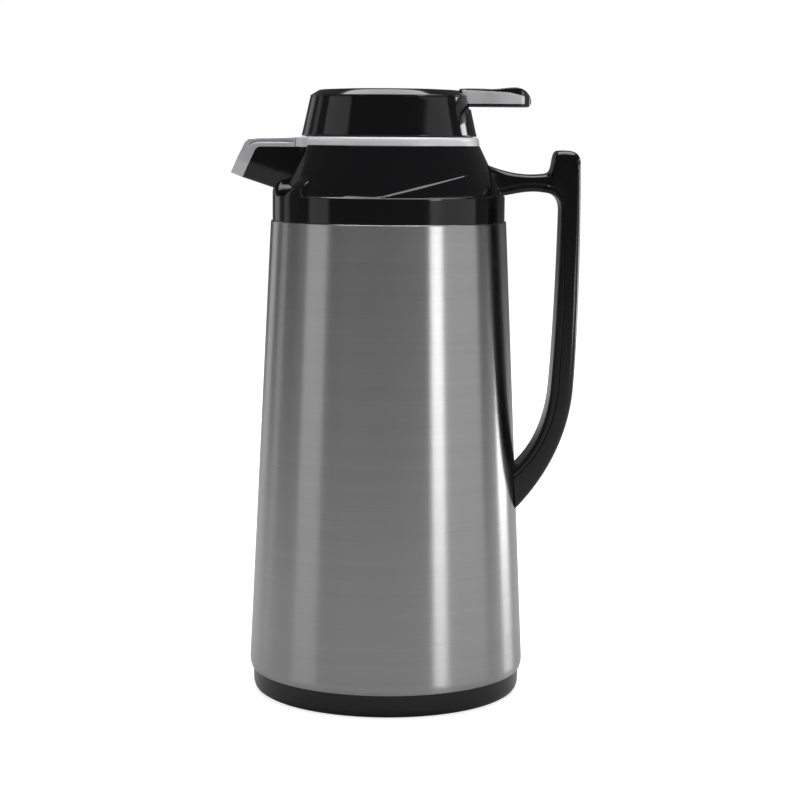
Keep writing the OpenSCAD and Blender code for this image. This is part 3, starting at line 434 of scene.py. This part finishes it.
trim_grid[np.flatnonzero(np.isin(cap_x, seam[1:3])), :, 1] *= 0.965


def mouth_rings(x_shift, side, low_z, high_z):
    """Section of the channel behind the slanted mouth, moved back by x_shift."""
    z = np.array([low_z, low_z + 1.5, 252, 252.8, 253.6, 254.4, 255.2, high_z])
    x = -67.2 - (261.7 - z) * 0.493 + x_shift
    near = np.stack([x, np.full(8, -side), z + x_shift * rise * (z < 252)], -1)
    return soften(np.concatenate([near, near[::-1] * [1, -1, 1]]),
                  [0.8, 1, 0, 0, 0, 0, 0, 1, 1, 0, 0, 0, 0, 0, 1, 0.8], 5)


rim = trim_grid[-1]
core = rim.mean(0)
lip = core + (rim - core) * [0.93, 0.93, 0.94] + [0, 0, 0.05]
channel = [mouth_rings(s, 7.5, 249.4, 256.4) for s in (0.25, 0.6, 6.0)]
trim_grid = np.concatenate([trim_grid, [lip], channel])

# The band round the mouth is open below, from the cap's front end to the lip
first_open, last_open = len(cap_x) - 1, len(cap_x) + 19
keep = np.ones((len(trim_grid) - 1, trim_grid.shape[1]), bool)
keep[first_open:last_open, -1] = False
skin("spout_cap_and_mouth", trim_grid, satin_silver, "carafe", ["spout_trim"],
     keep=keep)
channel = [mouth_rings(s, 7.5, 249.4, 256.4) for s in (5.8, 12.0, 24.0)]
channel.append(np.broadcast_to(channel[-1].mean(0), channel[-1].shape))
skin("spout_channel", np.stack(channel), shoulder_abs, "carafe",
     ["shoulder"])

# Mouth ring. A turned ring of the same foiled ABS, pressed on top of the cone.
# Silver foil on ABS, bright: near white, with a faint metal sheen
bright_silver, tree, shader, at = blank("silver_foil_bright")
marks = add(tree, "ShaderNodeTexNoise", {"Vector": at, "Scale": 90.0,
                                         "Detail": 3.0}).outputs[0]
tree.links.new(tint(tree, marks, "#F0F0F2", "#F8F8FA"), shader.inputs["Base Color"])
tree.links.new(spread(tree, marks, 0.26, 0.32), shader.inputs["Roughness"])
shader.inputs["Metallic"].default_value = 0.06
ring_line = soften([(39.65, 260.4), (42.7, 260.4), (42.35, 263.2), (41.6, 264.3), (40.1, 264.3),
                    (39.65, 263.9)], [0.1, 0.25, 0.8, 0.6, 0.3, 0.2])
skin("mouth_ring", turn(ring_line), bright_silver, "carafe", ["shoulder_ring"])

# Handle. Two black ABS mouldings: the grip, which is the outer shell, and a cover strip on
# the hand side. Two screws hold them to a tongue of the shoulder and to the casing.
handle_abs, shader = moulded("abs_black_gloss_handle", "#0D0D0F", "#111113", 0.13, 3, 0.006)
shader.inputs["IOR"].default_value = 1.5
outer = np.vstack([bezier(c, n)[:-1] for c, n in (
    ([(44, 252.6), (52, 249.3), (62, 245.9), (74.1, 247.7)], 22),
    ([(74.1, 247.7), (78.6, 248.8), (75.8, 258.4), (80.0, 258.5)], 22),
    ([(80.0, 258.5), (84.5, 258.8), (90.3, 259.1), (89.95, 252.0)], 22),
    ([(89.95, 252.0), (90.6, 212.0), (90.0, 176.0), (88.25, 147.6)], 32),
    ([(88.25, 147.6), (86.8, 123.5), (75.5, 102.5), (60.2, 87.0)], 36))])
inner = np.vstack([bezier(c, n)[:-1] for c, n in (
    ([(44, 236.0), (56, 236.8), (63, 240.4), (72.4, 239.0)], 22),
    ([(72.4, 239.0), (74.5, 238.8), (77.6, 238.4), (79.3, 236.0)], 22),
    ([(79.3, 236.0), (80.3, 234.6), (80.9, 232.7), (80.9, 230.0)], 22),
    ([(80.9, 230.0), (80.4, 205.0), (79.3, 172.0), (77.4, 147.6)], 32),
    ([(77.4, 147.6), (76.1, 130.5), (70.6, 116.4), (59.2, 106.5)], 36))])
station = np.interp(np.arange(len(outer)), [0, 21, 42, 63, 94, 129], [0, 8, 15, 21, 31, 43])
half = np.where(station < 5, 13 - 3.5 * (1 - (1 - station / 5) ** 2),
                np.where(station < 16, 9.5 + 2.5 * (1 - np.cos(np.pi * (station - 5) / 11)) / 2,
                         12.0))


def handle_rings(depths, widths, radius):
    """Sections of the handle: corners at given depths from the inner line towards the outer
    one, and at given shares of the half width."""
    way = outer - inner
    thick = np.linalg.norm(way, axis=1, keepdims=True)
    way = way / thick
    corners = []
    for depth, width in zip(depths, widths):
        reach = thick if depth is None else np.full_like(thick, depth)
        spot = inner + way * reach
        corners.append(np.stack([spot[:, 0], half * width, spot[:, 1]], -1))
    return soften(np.stack(corners, 1), radius, 9)


def capped(grid):
    """The rings of a closed tube, with a pole at the middle of each end."""
    ends = [np.broadcast_to(ring.mean(0), ring.shape)[None] for ring in (grid[0], grid[-1])]
    return np.concatenate([ends[0], grid, ends[1]])


skin("handle_shell", capped(handle_rings([3.65, None, None, 3.65], [-1, -1, 1, 1],
                                         [0.35, 4.4, 4.4, 0.35])),
     handle_abs, "carafe", ["handle_grip"])
skin("handle_strip", capped(handle_rings([3.5, 0, 0, 3.5], [1, 1, -1, -1],
                                         [0.3, 2.2, 2.2, 0.3])),
     handle_abs, "carafe", ["handle_cover"])

# Steel, drawn or turned and left bright, with fine marks along the tool's path
bright_steel, tree, shader, at = blank("steel_turned_bright")
marks = add(tree, "ShaderNodeTexNoise", {"Vector": at, "Scale": 1500.0,
                                         "Detail": 2.0}).outputs[0]
tree.links.new(tint(tree, marks, "#8F8F8F", "#B5B5B4"), shader.inputs["Base Color"])
tree.links.new(spread(tree, marks, 0.2, 0.4), shader.inputs["Roughness"])
shader.inputs["Metallic"].default_value = 1.0
dress(bright_steel, "handle_screws", "lid_screws", "lever_pin", "valve_spring")

# Stopper. A moulded drum that screws into the collar, with pouring windows and a seat for
# the valve; its plate carries the lid. It is polypropylene, left with a soft sheen.
stopper_pp, shader = moulded("polypropylene_satin", "#141416", "#1B1B1D", 0.35, 1.5, 0.01)
dress(stopper_pp, "stopper_body", "valve_rod", "valve_retainer", "rod_button")

# Lid. The wall is a black ABS cone with a notch where the lever comes out, and the crown
# is snapped on over it, which leaves a thin parting line.
lid_abs, shader = moulded("abs_black_gloss_lid", "#0F0F11", "#131315", 0.09, 3, 0.006)
shader.inputs["IOR"].default_value = 1.5
notch_half = 8.8
notch_edge = 0.232


def notched(profile, cut, floor):
    """Profile (r, z) carried round the axis with a notch at y = 8.8 either side of +X. The
    columns are warped so that two of them lie in the notch's sides, asin(8.8 / r), and are
    doubled; between them each point is moved to the notch's edge by cut(r, z, angle)."""
    r, z = (v[:, None] for v in np.asarray(profile, float).T)
    inside = np.linspace(-notch_edge, notch_edge, 25)[None]
    outside = np.linspace(notch_edge, 2 * np.pi - notch_edge, 300)[None]
    edge = np.arcsin(notch_half / np.maximum(r, floor))
    a_in = inside * edge / notch_edge
    a_out = edge + (outside - notch_edge) * (np.pi - edge) / (np.pi - notch_edge)
    r_in, z_in = cut(r + 0 * a_in, z + 0 * a_in, a_in)
    a = np.hstack([a_in, a_out])
    r = np.hstack([r_in, r + 0 * a_out])
    z = np.hstack([z_in, z + 0 * a_out])
    return np.stack([r * np.cos(a), r * np.sin(a), z], -1)


wall_up = np.linspace(266.0, 282.6, 12)
wall_line = np.vstack([
    soften([(39.35, 264.6), (40.9, 264.6), (41.3, 265.0), (41.05, 266.0)], [0, 0.3, 0.4, 0], 5,
           False),
    np.stack([41.3 - 4.1 * (wall_up - 264.6) / 18.3, wall_up], 1),
    soften([(37.25, 282.7), (37.2, 282.9), (35.2, 282.9), (35.25, 282.7)], [0, 0.2, 0.2, 0], 4,
           False)])
wall_down = wall_up[:0:-1]
wall_in = np.vstack([np.stack([39.3 - 4.1 * (wall_down - 264.6) / 18.3, wall_down], 1),
                     [(38.4, 268.4), (36.0, 268.4), (36.0, 266.6), (39.15, 266.6),
                      (39.35, 264.6)]])
outside_rows = len(wall_line) - 4


def wall_notch(r, z, a):
    """Heights above 277.5 go down to it, along the outer or the inner face of the wall."""
    low = np.minimum(z, 277.5)
    face = np.where(np.arange(len(z))[:, None] < outside_rows, 41.3, 39.3)
    return np.where(z > 277.5, face - 4.1 * (low - 264.6) / 18.3, r), low


skin("lid_wall", notched(np.vstack([wall_line, wall_in]), wall_notch, 30), lid_abs, "lid",
     ["lid_cover"])

top_r = np.array([0, 4, 8, 12, 16, 20, 24, 27, 30])
top_z = np.interp(top_r, [0, 12, 24, 32.9], [286.8, 286.76, 286.64, 286.24])
crown_line = np.vstack([
    soften([(37.0, 283.0), (37.2, 283.0), (37.2, 283.55), (33.7, 285.75), (32.6, 286.26),
            (30.0, top_z[-1])], [0, 0.1, 0.4, 1.3, 1.2, 0], 6, False),
    np.stack([top_r, top_z], 1)[::-1][1:]])
crown_under = np.vstack([[(0, 284.8), (16, 284.4), (31.1, 284.0), (33.2, 282.9), (33.2, 277.9),
                          (34.8, 277.9), (34.8, 282.9), (37.0, 282.95)]])
top_rows = len(crown_line)


def crown_notch(r, z, a):
    """Radii beyond the line x = 32.6 are drawn in to it, on the upper or the lower face."""
    edge = 32.6 / np.cos(a)
    upper = np.arange(len(z))[:, None] < top_rows
    height = np.where(upper, np.interp(edge, [24, 32.6, 33.7], [286.64, 286.26, 285.75]), 284.1)
    return np.minimum(r, edge), np.where(r > edge, height, z)


skin("lid_crown", notched(np.vstack([crown_line, crown_under]), crown_notch, 33.78), lid_abs,
     "lid", ["lid_top"])

# Lever. A rocker of black ABS on a steel pin: the thumb pad outside goes down and the fork
# inside lifts the valve rod. A bright strip is let into each side.
lever_abs, shader = moulded("abs_black_satin_lever", "#0E0E10", "#141416", 0.24, 1.6, 0.012)
shader.inputs["IOR"].default_value = 1.5
pad_x = np.unique(np.r_[np.linspace(33.0, 46, 14), np.linspace(46, 62, 33),
                        66.5 - 4.5 * (1 - np.sin(np.linspace(0, np.pi / 2, 16)))])
side_plan = np.vstack([[(30.0, 8.2)], bezier([(38.2, 8.2), (47.5, 8.2), (48.5, 12), (55.5, 12)],
                                             30),
                       np.stack([60 + 6.5 * np.sin(np.linspace(0, np.pi / 2, 20)),
                                 5.5 + 6.5 * np.cos(np.linspace(0, np.pi / 2, 20))], 1)])
top_edge = np.vstack([[(30.0, 286.8), (36.0, 287.15), (40.0, 287.15)],
                      bezier([(44.0, 287.1), (51.5, 286.5), (53.0, 287.65), (58.6, 287.7)], 30),
                      bezier([(58.6, 287.7), (63.3, 287.8), (66.4, 283.9), (66.5, 281.1)], 40)])
pad_half = np.interp(pad_x, side_plan[:, 0], side_plan[:, 1])
pad_top = np.interp(pad_x, top_edge[:, 0], top_edge[:, 1])
pad_low = np.interp(pad_x, [33, 36, 65.3, 66.5], [277.9, 278.7, 278.7, 280.5])
lever_rings = np.stack([
    np.stack([pad_x, -pad_half, pad_low], -1), np.stack([pad_x, -pad_half, pad_top], -1),
    np.stack([pad_x, pad_half, pad_top], -1), np.stack([pad_x, pad_half, pad_low], -1)], 1)
skin("lever_pad", capped(soften(lever_rings, [0.7, 1.0, 1.0, 0.7], 7)), lever_abs,
     "thumb_lever", ["lever"], flip=True)


def plate(outline, half_width, round_mm):
    """Side outline (x, z) carried across Y, with its two edges rounded: the rings shrink to
    the outline's middle as they near each side."""
    line = np.asarray(outline, float)
    centre = line.mean(0)
    size = np.ptp(line, axis=0).min() / 2
    a = np.linspace(0, np.pi / 2, 5)
    y = half_width - round_mm * (1 - np.sin(a))
    y = np.r_[-half_width, -y[::-1], y, half_width]
    shrink = 1 - np.interp(half_width - np.abs(y), [0, round_mm], [round_mm / size, 0])
    spot = centre + (line - centre) * shrink[:, None, None]
    return capped(np.stack([spot[..., 0], np.broadcast_to(y[:, None], spot.shape[:2]),
                            spot[..., 1]], -1))


hub = [(33.1, 277.8), (28.2, 278.4), (27.4, 280.7), (28.4, 282.9), (30.5, 283.6), (32.0, 283.2),
       (33.1, 282.6)]
fork = [(30.5, 280.2), (27.5, 280.9), (22.5, 276.8), (5, 276.6), (0, 277.3), (-5, 276.6),
        (-5, 274.4), (24.5, 274.4), (30.5, 278.1)]
skin("lever_hub", plate(soften(hub, 0.8), 8.1, 0.4), lever_abs, "thumb_lever",
     ["lever"])
for side in (-1, 1):
    arm = plate(soften(fork, 0.5), 1.65, 0.3) + [0, side * 4.3, 0]
    skin(f"lever_fork_{'near' if side < 0 else 'far'}", arm, lever_abs, "thumb_lever",
         ["lever"])

inlay_x = np.linspace(0, 1, 60)[None]
inlay_h = np.linspace(0, 1, 14)[:, None]
start = 34.4 - 1.0 * inlay_h
inlay_at = start + (63.5 - start) * inlay_x
inlay_top = np.interp(inlay_at, [35, 45, 56, 63.5], [286.75, 286.4, 285.7, 283.9])
inlay_z = 279.6 + (inlay_top - 279.6) * inlay_h
away = np.minimum(np.minimum(inlay_z - 279.6, inlay_top - inlay_z),
                  np.minimum(inlay_x, 1 - inlay_x) * (63.5 - start))
lift = -0.35 + 0.45 * np.sin(np.clip(away / 0.7, 0, 1) * np.pi / 2)
for side in (-1, 1):
    y = side * (np.interp(inlay_at, side_plan[:, 0], side_plan[:, 1]) + lift)
    skin(f"lever_inlay_{'near' if side < 0 else 'far'}", np.stack([inlay_at, y, inlay_z], -1),
         bright_silver, "thumb_lever", ["lever_trim"], around=False,
         flip=side > 0)

# Studio. A pale floor, a room that is white to the camera and dim to everything else, and
# upright soft lamps that give the steel its bright streaks. The camera stands where the
# photograph was taken from.
scene = bpy.context.scene
world = bpy.data.worlds.new("studio_room")
world.use_nodes = True
tree = world.node_tree
tree.nodes.clear()
path = add(tree, "ShaderNodeLightPath")
seen = add(tree, "ShaderNodeMath", {0: path.outputs["Is Camera Ray"],
                                    1: path.outputs["Is Transmission Ray"]},
           operation="MAXIMUM").outputs[0]
room = add(tree, "ShaderNodeMix", {0: seen, 6: (0.09, 0.09, 0.092, 1), 7: (1, 1, 1, 1)},
           data_type="RGBA").outputs[2]
glow = add(tree, "ShaderNodeBackground", {"Color": room, "Strength": 1.0}).outputs[0]
add(tree, "ShaderNodeOutputWorld", {"Surface": glow})
scene.world = world


# The floor is plain diffuse paper, so it keeps the object's shadow. It also glows: to the
# camera and through glass by a share that goes from 0.8 at the object to 1 at 1.2 m, which
# makes it white, and to reflections by 0.05, because the black gloss mirrors a dark room.
floor_mesh = bpy.data.meshes.new("studio_floor")
floor_mesh.from_pydata([(-6, -6, 0), (6, -6, 0), (6, 6, 0), (-6, 6, 0)], [], [(0, 1, 2, 3)])
paper, tree, shader, at = blank("studio_floor_paper")
path = add(tree, "ShaderNodeLightPath")
seen = add(tree, "ShaderNodeMath", {0: path.outputs["Is Camera Ray"],
                                    1: path.outputs["Is Transmission Ray"]},
           operation="MAXIMUM").outputs[0]
away = add(tree, "ShaderNodeVectorMath", {0: at}, operation="LENGTH").outputs["Value"]
share = add(tree, "ShaderNodeMapRange", {0: away, 1: 0.1, 2: 1.2, 3: 0.8, 4: 1.0}).outputs[0]
shown = add(tree, "ShaderNodeMath", {0: seen, 1: share}, operation="MULTIPLY").outputs[0]
glossy = add(tree, "ShaderNodeMath", {0: path.outputs["Is Glossy Ray"], 1: 0.05},
             operation="MULTIPLY").outputs[0]
total = add(tree, "ShaderNodeMath", {0: shown, 1: glossy}, operation="ADD").outputs[0]
tree.links.new(total, shader.inputs["Emission Strength"])
shader.inputs["Emission Color"].default_value = (1, 1, 1, 1)
shader.inputs["Base Color"].default_value = rgb("#B4B4B4")
shader.inputs["Roughness"].default_value = 0.9
shader.inputs["Specular IOR Level"].default_value = 0.0
floor_mesh.materials.append(paper)
studio_floor = bpy.data.objects.new("studio_floor", floor_mesh)
scene.collection.objects.link(studio_floor)


def softbox(name, azimuth, distance, size, middle_z, radiance):
    """Upright rectangular lamp at an azimuth round the object, 0 in front and positive to
    the right, facing the axis. radiance is what a mirror would show of it."""
    lamp = bpy.data.lights.new(name, "AREA")
    lamp.shape = "RECTANGLE"
    lamp.size, lamp.size_y = size
    lamp.energy = radiance * size[0] * size[1] * 4
    box = bpy.data.objects.new(name, lamp)
    a = np.radians(azimuth)
    box.location = (distance * np.sin(a), -distance * np.cos(a), middle_z)
    facing = box.location - Vector((0, 0, 0.16))
    box.rotation_euler = facing.to_track_quat("Z", "Y").to_euler()
    scene.collection.objects.link(box)


softbox("lamp_key_low", 46, 1.5, (0.32, 0.7), -0.27, 6.0)
softbox("lamp_key_high", 46, 1.5, (0.32, 0.13), 0.325, 9.0)
softbox("lamp_right_panel", 67, 1.5, (1.5, 1.3), 0.25, 0.5)
softbox("lamp_right_low", 123, 1.5, (0.4, 0.9), -0.1, 5.5)
softbox("lamp_right_high", 120, 1.5, (0.34, 0.2), 0.66, 6.0)
softbox("lamp_left_panel", -71, 1.5, (0.62, 1.0), 0.1, 0.5)
softbox("lamp_left_high", -78, 1.5, (1.1, 0.4), 0.84, 0.5)
softbox("lamp_left_edge", -118, 1.5, (0.25, 1.3), 0.25, 0.25)
softbox("lamp_left_rear", -142, 1.5, (0.4, 1.3), 0.25, 0.35)
softbox("lamp_overhead", 170, 0.2, (2.1, 2.1), 2.1, 3.4)

eye = bpy.data.cameras.new("photo_camera")
eye.lens = 94.8
eye.sensor_width = 36
eye.clip_start = 0.05
camera = bpy.data.objects.new("photo_camera", eye)
tilt, roll = np.radians(82.86), 0.0073
turned = Matrix.Rotation(tilt, 4, "X") @ Matrix.Rotation(roll, 4, "Z")
camera.matrix_world = Matrix.Translation((0.00603, -1.0018, 0.2648)) @ turned
scene.collection.objects.link(camera)
scene.camera = camera
scene.view_settings.view_transform = "Standard"
